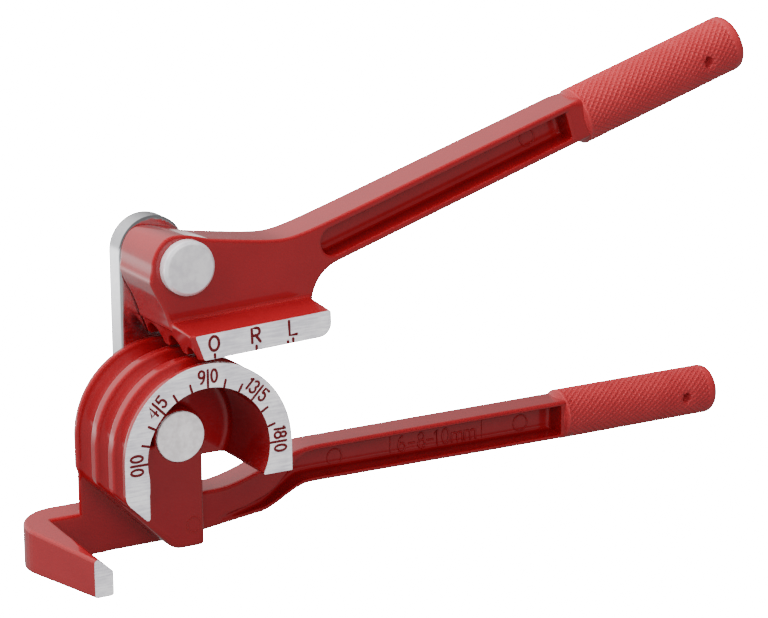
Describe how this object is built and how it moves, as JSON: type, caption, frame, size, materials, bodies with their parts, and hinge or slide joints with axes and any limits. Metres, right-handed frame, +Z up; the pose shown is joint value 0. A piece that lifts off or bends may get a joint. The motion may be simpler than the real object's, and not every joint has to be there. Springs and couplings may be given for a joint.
{
  "type": "tube bender",
  "caption": "Hand lever bender for soft metal tube: a grooved, graduated former with hook and handle, and a shoe on a second handle that a link carries round it.",
  "frame": {"origin": "on the base under the bend axis, in the middle of the lower handle's thickness", "axes": "+X along the lower handle towards its grip, +Y away from the graduated face, +Z up through the link at rest"},
  "size_m": [0.2596, 0.0506, 0.1508],
  "materials": {
    "enamelled_casting": "gloss",
    "bright_zinc": "satin",
    "plain_steel": "satin",
    "spring_steel": "satin"
  },
  "bodies": {
    "former": {"former_ring": "enamelled_casting", "former_back": "enamelled_casting", "hub_post": "enamelled_casting", "base_hook": "enamelled_casting", "lower_handle": "enamelled_casting", "lower_pin": "plain_steel", "lower_washer": "plain_steel", "lower_ring": "spring_steel"},
    "link": {"link_plate": "bright_zinc"},
    "shoe": {"shoe_handle": "enamelled_casting", "upper_pin": "bright_zinc", "upper_washer": "plain_steel", "upper_ring": "spring_steel"}
  },
  "joints": [
    {"name": "bend", "type": "hinge", "parent": "former", "child": "link", "pos_m": [0, -0.0018, 0.039], "axis": [0, 1, 0], "range_deg": [-90, 90]},
    {"name": "shoe_swing", "type": "hinge", "parent": "link", "child": "shoe", "pos_m": [0, -0.0018, 0.094], "axis": [0, -1, 0], "range_deg": [-6, 110]}
  ]
}
